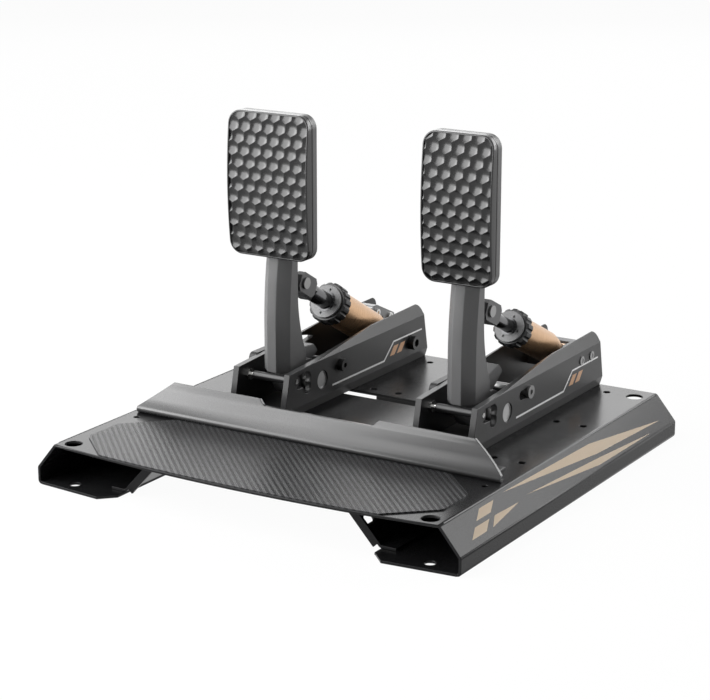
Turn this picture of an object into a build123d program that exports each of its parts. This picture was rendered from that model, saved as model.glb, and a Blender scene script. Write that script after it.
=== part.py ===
from build123d import *
from dataclasses import dataclass
from math import asin, atan2, cos, hypot, radians, sin, sqrt, tan
import os

# Sim racing pedal set. X runs to the right, Y runs away from the driver, Z is up.
# Sizes are in millimetres and are laid out from the middle of the base's front corners,
# at floor level. The finished pieces are shifted so that the middle of the floor area is zero.

# Driving dimensions of the folded base
base_width = 387.0
base_depth = 378.0
base_height = 36.3
crease_width = 350.7
side_height = 14.5
base_sheet = 2.3
bend_inside = 1.2
front_bow = 10.9
flange_width = 75.5
rig_span_x = 326.0
rig_span_y = 350.0
rig_hole_radius = 4.5

# Driving dimensions of the two pedals
brake_x = -77.8
throttle_x = 96.7
pedal_pitch = 52.6
pivot_y = 200.0
pivot_z = 58.5
pin_y = 199.0
pin_z = 140.0
brake_travel_deg = 10.0
throttle_travel_deg = 18.0
wall_gap = 44.6
wall_thickness = 5.5
arm_width = 25.7
pad_height = 119.5
pad_base_z = 167.0
brake_pad_width = 77.5
throttle_pad_width = 62.5

# Clearances and the overrun of every cut
part_gap = 0.3
turn_gap = 0.08
fit_gap = 0.05
overrun = 2.0

square_signs = ((-1, -1), (1, -1), (1, 1), (-1, 1))

half_width = base_width / 2
half_crease = crease_width / 2
middle_y = (base_depth - front_bow) / 2
half_gap = wall_gap / 2
wall_outer = half_gap + wall_thickness
bow_radius = (half_crease ** 2 + front_bow ** 2) / (2 * front_bow)


def front_edge(x):
    """Y of the bowed front edge of the base at x."""
    return x ** 2 / (2 * bow_radius) - front_bow


def polygon(*points):
    """Flat face inside the given corners."""
    return make_face(Polyline(*points, close=True))


def rounded(radius, *points):
    """Flat face inside the given corners, all rounded alike."""
    return make_face(FilletPolyline(*points, radius=radius, close=True))


def along_x(outline, start, end):
    """Solid from a (y, z) outline between two X positions."""
    return extrude(Pos(start, 0, 0) * (Plane.YZ * outline), amount=end - start)


def along_y(outline, start, end):
    """Solid from an (x, z) outline between two Y positions."""
    return extrude(Pos(0, start, 0) * (Plane.XZ * outline), amount=start - end)


def along_z(outline, start, end):
    """Solid from an (x, y) outline between two Z positions."""
    return extrude(Pos(0, 0, start) * outline, amount=end - start)


def pin_x(y, z, radius, start, end):
    """Round pin along X."""
    return along_x(Pos(y, z) * Circle(radius), start, end)


def pin_y_axis(x, z, radius, start, end):
    """Round pin along Y."""
    return along_y(Pos(x, z) * Circle(radius), start, end)


def pin_z_axis(x, y, radius, start, end):
    """Round pin along Z."""
    return along_z(Pos(x, y) * Circle(radius), start, end)


def turned(*points):
    """Solid of revolution about Z from (radius, height) points."""
    return revolve(Plane.XZ * polygon(*points), Axis.Z)


def mirrored(shape):
    """The shape's mirror image across the middle plane of the base."""
    return mirror(shape, about=Plane.YZ)


def folded(points, thickness, inside):
    """Closed outline of a folded sheet that lies on the right-hand side of its points."""
    path = [Vector(*point) for point in points]
    shifts = []
    for start, end in zip(path, path[1:]):
        run = (end - start).normalized()
        shifts.append((start, run, Vector(run.Y, -run.X) * thickness))
    inner = [shifts[0][0] + shifts[0][2]]
    for (start, run, shift), (other, other_run, other_shift) in zip(shifts, shifts[1:]):
        one, two = start + shift, other + other_shift
        cross = run.X * other_run.Y - run.Y * other_run.X
        reach = ((two.X - one.X) * other_run.Y - (two.Y - one.Y) * other_run.X) / cross
        inner.append(one + run * reach)
    inner.append(path[-1] + shifts[-1][2])
    turns = [a[1].X * b[1].Y - a[1].Y * b[1].X for a, b in zip(shifts, shifts[1:])]
    outer_radii = [inside if turn > 0 else inside + thickness for turn in turns]
    inner_radii = [inside + thickness if turn > 0 else inside for turn in turns]
    outer_line = FilletPolyline(*path, radius=outer_radii)
    inner_line = FilletPolyline(*inner, radius=inner_radii)
    ends = [Line(path[0], inner[0]), Line(path[-1], inner[-1])]
    return make_face(outer_line.edges() + inner_line.edges() + ends)


def hexagon(width):
    """Regular hexagon with the given width across its flats."""
    return RegularPolygon(width / 2, 6, major_radius=False)


def save(name, *solids):
    """Write one named piece, or a group of like pieces, in the finished frame."""
    moved = [Pos(0, -middle_y, 0) * solid for group in solids for solid in group.solids()]
    shape = moved[0] if len(moved) == 1 else Compound(moved)
    shape.label = name
    export_step(shape, f"parts/{name}.step")


# Base plate: hole and slot sizes
access_hole_radius = 7.0
pattern_hole_radius = 3.0
pattern_half_span = 12.2
pattern_front_y = 154.0
pattern_middle_y = 262.0
pattern_rear_y = 359.0
rig_edge_y = 9.0
flange_reach = 5.8
flange_corner_x = 130.0
flange_chamfer = 11.5
slot_front_y = 237.9
slot_width = 13.5
slot_length = 124.0
spare_hole_radius = 2.6
spare_hole_x = 162.8
spare_hole_y = 91.3
flange_edge = half_width - flange_width
pattern_rows = [pattern_front_y, pattern_middle_y, pattern_rear_y]


def base_plate():
    """Folded sheet with a top, two slopes, two upright sides and two bottom flanges."""
    points = [(-flange_edge, 0), (-half_width, 0), (-half_width, side_height)]
    points += [(-half_crease, base_height), (half_crease, base_height)]
    points += [(half_width, side_height), (half_width, 0), (flange_edge, 0)]
    plate = along_y(folded(points, base_sheet, bend_inside), -front_bow - overrun, base_depth)
    far, ahead = half_width + overrun, -front_bow - 2 * overrun
    bow = ThreePointArc((-half_crease, 0), (0, -front_bow), (half_crease, 0))
    rest = Polyline((half_crease, 0), (far, 0), (far, ahead), (-far, ahead), (-far, 0), (-half_crease, 0))
    plate -= along_z(make_face(bow.edges() + rest.edges()), side_height, base_height + overrun)
    inner_side = half_width - base_sheet - bend_inside
    side = polygon((0, side_height), (ahead, side_height), (ahead, -overrun), (0, -overrun))
    chamfer_end = flange_chamfer - flange_reach
    flange = polygon((far, 0), (half_width, 0), (flange_corner_x, -flange_reach),
                     (flange_corner_x - flange_chamfer, chamfer_end),
                     (flange_edge - overrun, chamfer_end), (flange_edge - overrun, ahead), (far, ahead))
    for cutter in (along_x(side, inner_side, far), along_z(flange, -overrun, base_sheet + bend_inside)):
        plate -= cutter
        plate -= mirrored(cutter)
    for x in (-rig_span_x / 2, rig_span_x / 2):
        for y in (rig_edge_y, rig_edge_y + rig_span_y):
            plate -= pin_z_axis(x, y, rig_hole_radius, -overrun, base_sheet + overrun)
            plate -= pin_z_axis(x, y, access_hole_radius, side_height, base_height + overrun)
    top_under = base_height - base_sheet - overrun
    holes = [Pos(x, spare_hole_y) * Circle(spare_hole_radius) for x in (-spare_hole_x, spare_hole_x)]
    for pedal_x in (brake_x, brake_x + pedal_pitch, throttle_x, throttle_x + pedal_pitch):
        for y in pattern_rows:
            for x in (pedal_x - pattern_half_span, pedal_x + pattern_half_span):
                holes.append(Pos(x, y) * Circle(pattern_hole_radius))
    for x in heel_screw_places():
        holes.append(Pos(x, heel_screw_y) * Circle(heel_screw_radius + fit_gap))
    slot = Pos(0, slot_front_y + slot_width / 2) * SlotOverall(slot_length, slot_width)
    for hole in holes + [slot]:
        plate -= along_z(hole, top_under, base_height + overrun)
    return plate


# Foot braces: slanted sheets between the flanges and the underside of the top
brace_top_x = 91.0
brace_front_y = 15.0
brace_rear_y = 370.0
brace_flange = 13.0
brace_lip = 7.0
brace_lip_start = 3.0
brace_lip_end = 2.6
brace_window_y = 18.5
brace_window_length = 11.0
brace_window_z = 16.8
brace_window_height = 5.6
brace_window_round = 2.0


def foot_brace():
    """Slanted sheet on the right, with a flange at both edges and an inward lip at the front."""
    top_z = base_height - base_sheet
    points = [(brace_top_x + brace_flange, top_z - base_sheet), (brace_top_x, top_z - base_sheet),
              (flange_edge, 2 * base_sheet), (flange_edge + brace_flange, 2 * base_sheet)]
    brace = along_y(folded(points, base_sheet, bend_inside), brace_front_y, brace_rear_y)
    low, high = Vector(flange_edge, 2 * base_sheet), Vector(brace_top_x, top_z)
    run = (low - high).normalized()
    start, end = high + run * brace_lip_start, low - run * brace_lip_end
    side = Vector(run.Y, -run.X) * brace_lip
    brace += along_y(polygon(start, end, end + side, start + side), brace_front_y, brace_front_y + base_sheet)
    y0, y1 = brace_window_y, brace_window_y + brace_window_length
    z0, z1 = brace_window_z, brace_window_z + brace_window_height
    window = rounded(brace_window_round, (y0, z0), (y1, z0), (y1, z1), (y0, z1))
    return brace - along_x(window, brace_top_x, flange_edge)


# Foot mat
mat_thickness = 1.0
mat_half_width = 163.0
mat_front_half = 127.0
mat_front_y = 28.0
mat_rear_y = 66.0
mat_edge_gap = 0.6
mat_corner = 7.0


def foot_mat():
    """Thin mat whose front follows the bowed edge and whose corners are cut off and rounded."""
    bow_start, bow_end = front_edge(mat_front_half) + mat_edge_gap, -front_bow + mat_edge_gap
    back_y = heel_front_y - mat_edge_gap
    back_x = mat_half_width - (back_y - mat_rear_y)
    sides = Polyline((mat_front_half, bow_start), (mat_half_width, mat_front_y), (mat_half_width, mat_rear_y),
                     (back_x, back_y), (-back_x, back_y), (-mat_half_width, mat_rear_y),
                     (-mat_half_width, mat_front_y), (-mat_front_half, bow_start))
    bow = ThreePointArc((-mat_front_half, bow_start), (0, bow_end), (mat_front_half, bow_start))
    outline = make_face(sides.edges() + bow.edges())
    ends = outline.vertices().filter_by(lambda corner: abs(corner.X) > mat_half_width - mat_edge_gap)
    return along_z(fillet(ends, mat_corner), base_height, base_height + mat_thickness)


# Heel rest: a flange on the plate, a tight fold at the front and a face that curls upwards
heel_front_y = 101.0
heel_rear_y = 132.0
heel_top_z = 63.5
heel_sheet = 2.5
heel_curve = 46.0
heel_fold = 0.5
heel_start_deg = 44.0
heel_half_width = 170.5
heel_top_half_width = 141.0
heel_end_height = 2.4
heel_recess_half = 51.0
heel_recess_depth = 5.2
heel_recess_round = 4.0
heel_screw_radius = 2.5
heel_screw_head = 4.5
heel_head_height = 2.5
heel_screw_socket = 4.5
heel_screw_y = 122.0
heel_screw_length = 7.0
heel_screw_outer_x = 150.0
heel_screw_inner_x = 52.0
heel_notch_x = 159.0


def heel_screw_places():
    """X positions of the screws in the heel rest's flange."""
    return (-heel_screw_outer_x, -heel_screw_inner_x, heel_screw_inner_x, heel_screw_outer_x)


def heel_rest():
    """Curled sheet with slanted ends and a shallow recess in its top edge."""
    nose = heel_fold + heel_sheet
    start = radians(heel_start_deg)
    nose_y, nose_z = heel_front_y + nose, base_height + nose
    centre_y = nose_y - (nose + heel_curve) * sin(start)
    centre_z = nose_z + (nose + heel_curve) * cos(start)
    finish = radians(90) - asin((centre_z - heel_top_z) / heel_curve)

    def around(y, z, radius, angle):
        return (y + radius * sin(angle), z - radius * cos(angle))

    middle = (start + finish) / 2
    under = radians(-90)
    outer = heel_curve + heel_sheet
    fold_at = radians(180) + start
    lines = [
        Line((heel_rear_y, base_height), (nose_y, base_height)),
        ThreePointArc((nose_y, base_height), around(nose_y, nose_z, nose, under),
                      around(nose_y, nose_z, nose, fold_at)),
        ThreePointArc(around(centre_y, centre_z, heel_curve, start),
                      around(centre_y, centre_z, heel_curve, middle),
                      around(centre_y, centre_z, heel_curve, finish)),
        Line(around(centre_y, centre_z, heel_curve, finish), around(centre_y, centre_z, outer, finish)),
        ThreePointArc(around(centre_y, centre_z, outer, finish), around(centre_y, centre_z, outer, middle),
                      around(centre_y, centre_z, outer, start)),
        ThreePointArc(around(nose_y, nose_z, heel_fold, fold_at), around(nose_y, nose_z, heel_fold, under),
                      (nose_y, base_height + heel_sheet)),
        Line((nose_y, base_height + heel_sheet), (heel_rear_y, base_height + heel_sheet)),
        Line((heel_rear_y, base_height + heel_sheet), (heel_rear_y, base_height)),
    ]
    rest = along_x(make_face(lines), -heel_half_width, heel_half_width)
    end_z = nose_z + heel_end_height
    top, front, back = heel_top_z + overrun, heel_front_y - overrun, heel_rear_y + overrun
    slant = (heel_half_width - heel_top_half_width) / (heel_top_z - end_z)
    end = polygon((heel_half_width, end_z), (heel_top_half_width - slant * overrun, top),
                  (heel_half_width + overrun, top), (heel_half_width + overrun, end_z))
    trim = along_y(end, front, back)
    corner = polygon((heel_notch_x, nose_y + heel_sheet), (heel_half_width + overrun, nose_y + heel_sheet),
                     (heel_half_width + overrun, back), (heel_notch_x, back))
    corner_cut = along_z(corner, base_height - overrun, base_height + heel_sheet + heel_fold)
    low = heel_top_z - heel_recess_depth
    shoulder = heel_recess_half + heel_recess_depth + overrun
    recess = polygon((-shoulder, top), (-heel_recess_half, low), (heel_recess_half, low), (shoulder, top))
    recess = fillet(recess.vertices().sort_by(Axis.Y)[:2], heel_recess_round)
    rest = rest - trim - mirrored(trim) - corner_cut - mirrored(corner_cut) - along_y(recess, front, back)
    for x in heel_screw_places():
        rest -= pin_z_axis(x, heel_screw_y, heel_screw_radius + fit_gap, base_height - overrun,
                           base_height + heel_sheet + overrun)
    return rest


def cap_screw(shank, length, head, height, socket):
    """Socket-head screw along Z whose head sits above zero and whose shank hangs below it."""
    screw = Pos(0, 0, -length / 2) * Cylinder(shank, length) + Pos(0, 0, height / 2) * Cylinder(head, height)
    return screw - along_z(hexagon(socket), height / 2, height + overrun)


def heel_screws():
    """Four low screws through the heel rest's flange."""
    screw = cap_screw(heel_screw_radius, heel_screw_length, heel_screw_head, heel_head_height,
                      heel_screw_socket)
    return [Pos(x, heel_screw_y, base_height + heel_sheet) * screw for x in heel_screw_places()]


# Control box under the plate, with two sockets in its rear face
box_half_width = 41.0
box_rear_y = 352.0
box_height = 24.0
box_round = 3.0
socket_width = 12.0
socket_height = 10.0
socket_depth = 14.0
socket_gap = 8.0
socket_round = 1.0
box_front_y = 270.0


def control_box():
    """Closed electronics box with two sockets for leads."""
    top = base_height - base_sheet
    y0, y1 = box_front_y, box_rear_y
    outline = rounded(box_round, (-box_half_width, y0), (box_half_width, y0),
                      (box_half_width, y1), (-box_half_width, y1))
    box = along_z(outline, top - box_height, top)
    middle = top - box_height / 2
    for side in (-1, 1):
        x = side * (socket_width + socket_gap) / 2
        places = [(x + i * socket_width / 2, middle + j * socket_height / 2) for i, j in square_signs]
        box -= along_y(rounded(socket_round, *places), y1 - socket_depth, y1 + overrun)
    return box


# Bracket walls: the side outline runs from the front foot over the ramp to the rear
wall_front_y = 141.0
wall_front_top_y = 150.0
wall_front_top_z = 74.5
wall_ramp_y = 195.0
wall_ramp_z = 77.0
wall_high_y = 285.0
wall_high_z = 85.5
wall_rear_top_y = 368.5
wall_rear_y = 377.0
wall_rear_z = 44.0
wall_top_z = 87.0
wall_waist_z = 44.5
wall_crease_z = 76.5
wall_foot_inset = 2.5
wall_top_inset = 5.0
wall_round = 8.0
window_round = 1.2
tip_y = 268.5
tip_z = 74.5
tip_high_y = 246.5
tip_high_z = 79.0
tip_low_y = 224.5
tip_upper_z = 76.5
tip_lower_z = 68.3
floor_thickness = 3.0
floor_front_y = 146.0
floor_rear_y = 372.0
floor_z = base_height + floor_thickness


def bracket_wall():
    """Right-hand wall about x zero, with its slanted foot and top bands."""
    outline = polygon((wall_front_y, base_height), (wall_front_top_y, wall_front_top_z),
                      (wall_ramp_y, wall_ramp_z), (wall_high_y, wall_high_z), (wall_rear_top_y, wall_top_z),
                      (wall_rear_y, wall_rear_z), (wall_rear_y, base_height))
    corner = outline.vertices().sort_by_distance((wall_rear_top_y, wall_top_z, 0))[0]
    wall = along_x(fillet(corner, wall_round), half_gap, wall_outer)
    band = polygon((half_gap, base_height), (wall_outer - wall_foot_inset, base_height),
                   (wall_outer, wall_waist_z), (wall_outer, wall_crease_z),
                   (wall_outer - wall_top_inset, wall_top_z), (half_gap, wall_top_z))
    return wall & along_y(band, wall_front_y, wall_rear_y)


# Stop rod at the front, with its rubber sleeve, nuts and the window that it is set in
stop_y = 163.5
stop_z = 65.5
stop_radius = 2.0
sleeve_radius = 3.4
sleeve_start = 16.0
stop_nut_width = 9.0
stop_nut_height = 3.0
stop_rod_tail = 1.4
stop_rod_end = 1.0
slot_reach = 12.5
rod_slot_height = 12.0
guide_radius = 5.7
guide_thickness = 2.6
lobe_radius = 5.5
lobe_drop = 7.5


def rod_window():
    """Outline of the adjusting window in the right wall."""
    window = Pos(stop_y + slot_reach / 2, stop_z) * SlotCenterToCenter(slot_reach, rod_slot_height)
    return window + Pos(stop_y + slot_reach, stop_z - lobe_drop) * Circle(lobe_radius)


def tip_window():
    """Outline of the pointed window in the left wall."""
    return rounded(window_round, (tip_y, tip_z), (tip_high_y, tip_high_z), (tip_low_y, tip_upper_z),
                   (tip_low_y, tip_lower_z))


def screw_holes(x, radius):
    """Bracket screw holes about x, from the floor plate down through the base."""
    places = [(x + side * pattern_half_span, y) for side in (-1, 1) for y in pattern_rows]
    return [pin_z_axis(px, py, radius, base_height - overrun, floor_z + overrun) for px, py in places]


# Bracket screws
screw_radius = 2.9
screw_head_radius = 4.75
screw_head_height = 2.8
screw_socket = 4.0


def bracket_screws():
    """Six screws through the floor plate of each bracket."""
    length = floor_thickness + base_sheet
    screw = cap_screw(screw_radius, length, screw_head_radius, screw_head_height, screw_socket)
    places = [(x + side * pattern_half_span, y) for x in (brake_x, throttle_x)
              for side in (-1, 1) for y in pattern_rows]
    return [Pos(x, y, floor_z) * screw for x, y in places]


# Pivot: fixed shaft, cap, and the sensor on the left wall
shaft_radius = 6.0
shaft_end = 3.0
cap_radius = 7.75
cap_height = 1.2
cap_sink = 1.2
cap_rim = 1.2
cap_dish = 0.4
sensor_size = 38.0
sensor_thickness = 6.0
sensor_round = 5.0
sensor_boss = 11.0
sensor_step = 1.5
arm_side = arm_width / 2


def pivot_shaft(x):
    """Shaft from the sensor on the left, through both walls, to the cap on the right."""
    end = wall_outer - cap_sink - cap_height
    return pin_x(pivot_y, pivot_z, shaft_radius, x - wall_outer - shaft_end, x + end)


def pivot_cap(x):
    """Dished round cap that is sunk in the right wall."""
    start = x + wall_outer - cap_sink - cap_height
    cap = pin_x(pivot_y, pivot_z, cap_radius, start, start + cap_height)
    return cap - pin_x(pivot_y, pivot_z, cap_radius - cap_rim, start + cap_height - cap_dish, start + overrun)


def sensor_housing(x):
    """Square housing with a round boss over the shaft's left end."""
    half = sensor_size / 2
    corners = [(pivot_y + i * half, pivot_z + j * half) for i, j in square_signs]
    start = x - wall_outer
    back = start - sensor_thickness
    housing = along_x(rounded(sensor_round, *corners), back, start)
    housing += pin_x(pivot_y, pivot_z, sensor_boss, back - sensor_step, back)
    return housing - pin_x(pivot_y, pivot_z, shaft_radius + turn_gap, start - shaft_end, start + overrun)


# Pedal arm: a bar whose front corners are cut at 45 degrees, on a round hub
arm_front_y = 165.0
arm_toe_z = 69.2
arm_straight_z = 105.0
arm_bow_z = 166.0
arm_bow_y = 170.0
arm_face_y = 175.4
arm_step_gap = 1.0
arm_top_z = 262.0
arm_top_back_y = 189.0
arm_back_y = 186.3
arm_back_z = 158.0
arm_neck_z = 130.0
arm_front_flat = 8.5
arm_waist_y = 190.0
arm_waist_z = 104.0
hub_radius = 16.0
hub_neck_y = 197.0
hub_neck_z = 83.0
tongue_thickness = 9.4
tongue_radius = 7.0
bush_radius = 8.0
collar_radius = 10.5
nose_width = 12.0
nose_length = 9.4
nose_overhang = 2.0
pad_screw_low_z = 205.0
pad_screw_high_z = 245.0
pad_screw_radius = 2.5
pad_head_radius = 4.4
pad_head_height = 4.0
pad_socket = 4.0


def stop_nose(pedal):
    """Nose behind the hub whose underside meets the end stop at full travel."""
    across, up = pedal.end_y - pivot_y, pedal.end_z - pivot_z
    reach = hypot(across, up)
    press = atan2(up, across) + asin((end_radius + part_gap / 2) / reach)
    low = press + radians(pedal.travel)
    tip = reach + nose_overhang
    spread = asin(nose_length / tip)
    turns = (low, low + spread / 2, low + spread)
    outer = [(pivot_y + tip * cos(turn), pivot_z + tip * sin(turn)) for turn in turns]
    return polygon((pivot_y, pivot_z), *outer, (pivot_y, hub_neck_z))


def arm(pedal):
    """Arm with its hub, damper tongue and end-stop nose as one forging."""
    bow_middle_z = (arm_straight_z + arm_bow_z) / 2
    bow = (arm_bow_y - arm_front_y) * ((bow_middle_z - arm_straight_z) / (arm_bow_z - arm_straight_z)) ** 2
    front = [
        Line((arm_front_y, arm_toe_z), (arm_front_y, arm_straight_z)),
        ThreePointArc((arm_front_y, arm_straight_z), (arm_front_y + bow, bow_middle_z),
                      (arm_bow_y, arm_bow_z)),
        Line((arm_bow_y, arm_bow_z), (arm_face_y, arm_face_z)),
        Line((arm_face_y, arm_face_z), (arm_face_y, arm_top_z)),
    ]
    back = [
        Line((arm_face_y, arm_top_z), (arm_top_back_y, arm_top_z)),
        Line((arm_top_back_y, arm_top_z), (arm_back_y, arm_back_z)),
        Line((arm_back_y, arm_back_z), (arm_back_y, arm_neck_z)),
        ThreePointArc((arm_back_y, arm_neck_z), (arm_waist_y, arm_waist_z), (hub_neck_y, hub_neck_z)),
        Line((hub_neck_y, hub_neck_z), (pivot_y, pivot_z)),
        Line((pivot_y, pivot_z), (arm_back_y, arm_toe_z)),
        Line((arm_back_y, arm_toe_z), (arm_front_y, arm_toe_z)),
    ]
    profile = make_face(front + back) + Pos(pivot_y, pivot_z) * Circle(hub_radius)
    body = along_x(profile, -arm_side, arm_side)
    low, high = arm_toe_z - overrun, arm_top_z + overrun
    ahead = Polyline((arm_face_y, arm_top_z), (arm_face_y, high), (arm_front_y - arm_side, high),
                     (arm_front_y - arm_side, low), (arm_front_y, low), (arm_front_y, arm_toe_z))
    start = Pos(arm_front_flat / 2, 0, 0) * (Plane.YZ * make_face(front + ahead.edges()))
    cutter = extrude(start, amount=arm_width, dir=(1, 1, 0))
    body = body - cutter - mirrored(cutter)
    body += along_x(stop_nose(pedal), -nose_width / 2, nose_width / 2)
    tongue = Pos(pin_y, pin_z) * Circle(tongue_radius)
    tongue += polygon((arm_waist_y - tongue_radius, pin_z - tongue_radius), (pin_y, pin_z - tongue_radius),
                      (pin_y, pin_z + tongue_radius), (arm_waist_y - tongue_radius, pin_z + tongue_radius))
    body += along_x(tongue, -tongue_thickness / 2, tongue_thickness / 2)
    body -= pin_x(pin_y, pin_z, clevis_pin_radius + fit_gap, -arm_side, arm_side)
    body -= pin_x(pivot_y, pivot_z, bush_radius + fit_gap, -arm_side - overrun, arm_side + overrun)
    seat, behind = arm_top_back_y - pad_seat, arm_top_back_y + overrun
    for z in (pad_screw_low_z, pad_screw_high_z):
        body -= pin_y_axis(0, z, pad_screw_radius + fit_gap, arm_face_y - overrun, behind)
        body -= pin_y_axis(0, z, pad_head_radius + part_gap, seat, behind)
    return Pos(pedal.x, 0, 0) * body


def hub_bushes(pedal):
    """Two flanged bushes that carry the hub on the shaft and centre it between the walls."""
    reach = half_gap - part_gap
    bush = turned((shaft_radius + turn_gap, part_gap), (bush_radius, part_gap), (bush_radius, arm_side),
                  (collar_radius, arm_side), (collar_radius, reach), (shaft_radius + turn_gap, reach))
    right = Pos(pedal.x, pivot_y, pivot_z) * Rot(0, 90, 0) * bush
    left = Pos(pedal.x, pivot_y, pivot_z) * Rot(0, -90, 0) * bush
    return [left, right]


# Pads: a dimpled tread on a backing plate that is notched for the arm
pad_corner = 11.0
pad_crown_y = 159.8
pad_curve = 448.0
tread_back_y = 170.2
seam_y = 166.0
seam_width = 0.8
seam_depth = 0.6
tread_edge = 0.9
notch_width = 27.0
notch_height = 20.0
notch_round = 3.0
dimple_width = 11.26
dimple_land = 0.35
dimple_depth = 1.9
dimple_rise = 0.5
dimple_taper_deg = 52.0
dimple_border = 1.6
pad_seat = 3.0
pad_middle_z = pad_base_z + pad_height / 2
arm_face_z = pad_base_z + notch_height - arm_step_gap


def pad_outline(width, inset=0):
    """Rounded upright rectangle of a pad, about x zero."""
    shape = RectangleRounded(width - 2 * inset, pad_height - 2 * inset, pad_corner - inset)
    return Pos(0, pad_middle_z) * shape


def pad_tread(pedal):
    """Crowned tread with a seam round it and rows of tapered six-sided dimples."""
    tread = along_y(pad_outline(pedal.pad_width), pad_crown_y - overrun, tread_back_y)
    tread &= pin_x(pad_crown_y + pad_curve, pad_middle_z, pad_curve, -pedal.pad_width, pedal.pad_width)
    front = tread.faces().sort_by(Axis.Y)[0]
    tread = chamfer(front.edges(), tread_edge)
    ring = pad_outline(pedal.pad_width, -overrun) - pad_outline(pedal.pad_width, seam_depth)
    tread -= along_y(ring, seam_y - seam_width / 2, seam_y + seam_width / 2)
    cell = dimple_width - dimple_land
    mouth = cell / 2 + dimple_rise * tan(radians(dimple_taper_deg))
    floor = cell / 2 - dimple_depth * tan(radians(dimple_taper_deg))
    top = Pos(0, 0, dimple_rise) * Rot(0, 0, 30) * RegularPolygon(mouth, 6, major_radius=False)
    bottom = Pos(0, 0, -dimple_depth) * Rot(0, 0, 30) * RegularPolygon(floor, 6, major_radius=False)
    scoop = loft([bottom, top], ruled=True)
    row_pitch = dimple_width * sqrt(3) / 2
    rows = int(pad_height / 2 / row_pitch) + 1
    columns = int(pedal.pad_width / 2 / dimple_width) + 1
    scoops = []
    for row in range(-rows, rows + 1):
        z = row * row_pitch
        shift = dimple_width / 2 * (1 - row % 2)
        tilt = asin(z / pad_curve)
        y = pad_crown_y + pad_curve * (1 - cos(tilt))
        for column in range(-columns - 1, columns + 1):
            x = column * dimple_width + shift
            if abs(x) < (pedal.pad_width + cell) / 2 and abs(z) < (pad_height + cell) / 2:
                face = Plane((x, y, pad_middle_z + z), x_dir=(1, 0, 0), z_dir=(0, -cos(tilt), sin(tilt)))
                scoops.append(face.location * scoop)
    keep = along_y(pad_outline(pedal.pad_width, dimple_border), pad_crown_y - overrun, seam_y - seam_width)
    trimmed = [scoop & keep for scoop in scoops]
    tread = tread - [solid for scoop in trimmed if scoop for solid in scoop.solids()]
    return Pos(pedal.x, 0, 0) * tread


def pad_backing(pedal):
    """Backing plate with a notch at the bottom for the arm."""
    outline = pad_outline(pedal.pad_width)
    corners = [(i * notch_width / 2, pad_base_z + j * notch_height) for i, j in square_signs]
    plate = along_y(outline - rounded(notch_round, *corners), tread_back_y, arm_face_y)
    for z in (pad_screw_low_z, pad_screw_high_z):
        plate -= pin_y_axis(0, z, pad_screw_radius + fit_gap, tread_back_y - overrun, arm_face_y + overrun)
    return Pos(pedal.x, 0, 0) * plate


def pad_screws(pedal):
    """Two socket-head screws from behind the arm."""
    length = arm_top_back_y - pad_seat - tread_back_y
    screw = cap_screw(pad_screw_radius, length, pad_head_radius, pad_head_height, pad_socket)
    head_y = arm_top_back_y - pad_seat
    return [Pos(pedal.x, head_y, z) * Rot(-90, 0, 0) * screw for z in (pad_screw_low_z, pad_screw_high_z)]


# End stop: a headed bolt across the bracket, behind the hub
end_radius = 4.0
end_head_radius = 5.5
end_socket = 4.0
end_head_height = 5.0
end_low_head_height = 2.5
end_slot_length = 24.0
end_slot_shift = 4.0
clevis_pin_radius = 4.0
clevis_head_radius = 4.8
clevis_head_height = 1.6


# Damper: stations are measured from the clevis pin along the axis towards the rear pin
fork_front = 8.0
fork_back = 18.0
fork_half_height = 8.3
fork_chamfer = 3.5
fork_width = 24.0
fork_slot = 10.6
fork_slot_depth = 10.0
stud_radius = 4.0
nut_length = 7.0
cap_lip = 2.2
ring_start = 2.5
ring_length = 11.0
ring_thread = 13.0
ring_chamfer_share = 0.5
ring_rear_share = 0.25
knurl_inset_share = 0.125
wall_of_barrel = 2.4
groove_length = 1.6
groove_depth = 1.4
groove_step = 0.7
tail_length = 7.5
tail_cone = 8.0
eye_radius = 9.0
eye_width = 14.0
rear_pin_radius = 4.0
piston_length = 8.0
pin_hole_radius = 1.1
pin_hole_depth = 1.2
wiper_lip = 0.8


@dataclass
class Pedal:
    """Sizes that differ between the brake and the throttle."""

    name: str
    x: float
    travel: float
    pad_width: float
    rear_y: float
    rear_z: float
    end_y: float
    end_z: float
    cap_station: float
    cap_radius: float
    ring_radius: float
    barrel_radius: float
    rod_radius: float
    wiper_radius: float
    hole_circle: float
    hole_start_deg: float
    groove_station: float
    nut_width: float
    lobes: int
    play: float

    def length(self):
        """Distance between the clevis pin and the rear pin at rest."""
        return hypot(self.rear_y - pin_y, self.rear_z - pin_z)

    def frame(self):
        """Place of the damper: Z along its axis, from the clevis pin to the rear pin."""
        run = ((self.rear_y - pin_y) / self.length(), (self.rear_z - pin_z) / self.length())
        return Plane(origin=(self.x, pin_y, pin_z), x_dir=(1, 0, 0), z_dir=(0, *run)).location


brake = Pedal(
    name="brake", x=brake_x, travel=brake_travel_deg, pad_width=brake_pad_width,
    rear_y=347.0, rear_z=56.3, end_y=228.0, end_z=65.0,
    cap_station=57.0, cap_radius=14.4, ring_radius=18.0, barrel_radius=15.5,
    rod_radius=7.2, wiper_radius=9.0, hole_circle=10.7, hole_start_deg=9.0,
    groove_station=140.0, nut_width=17.0, lobes=16, play=0.3,
)
throttle = Pedal(
    name="throttle", x=throttle_x, travel=throttle_travel_deg, pad_width=throttle_pad_width,
    rear_y=343.6, rear_z=68.6, end_y=236.5, end_z=66.5,
    cap_station=60.0, cap_radius=12.9, ring_radius=16.0, barrel_radius=13.2,
    rod_radius=5.5, wiper_radius=7.2, hole_circle=9.0, hole_start_deg=19.0,
    groove_station=133.0, nut_width=14.0, lobes=14, play=0.6,
)


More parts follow.
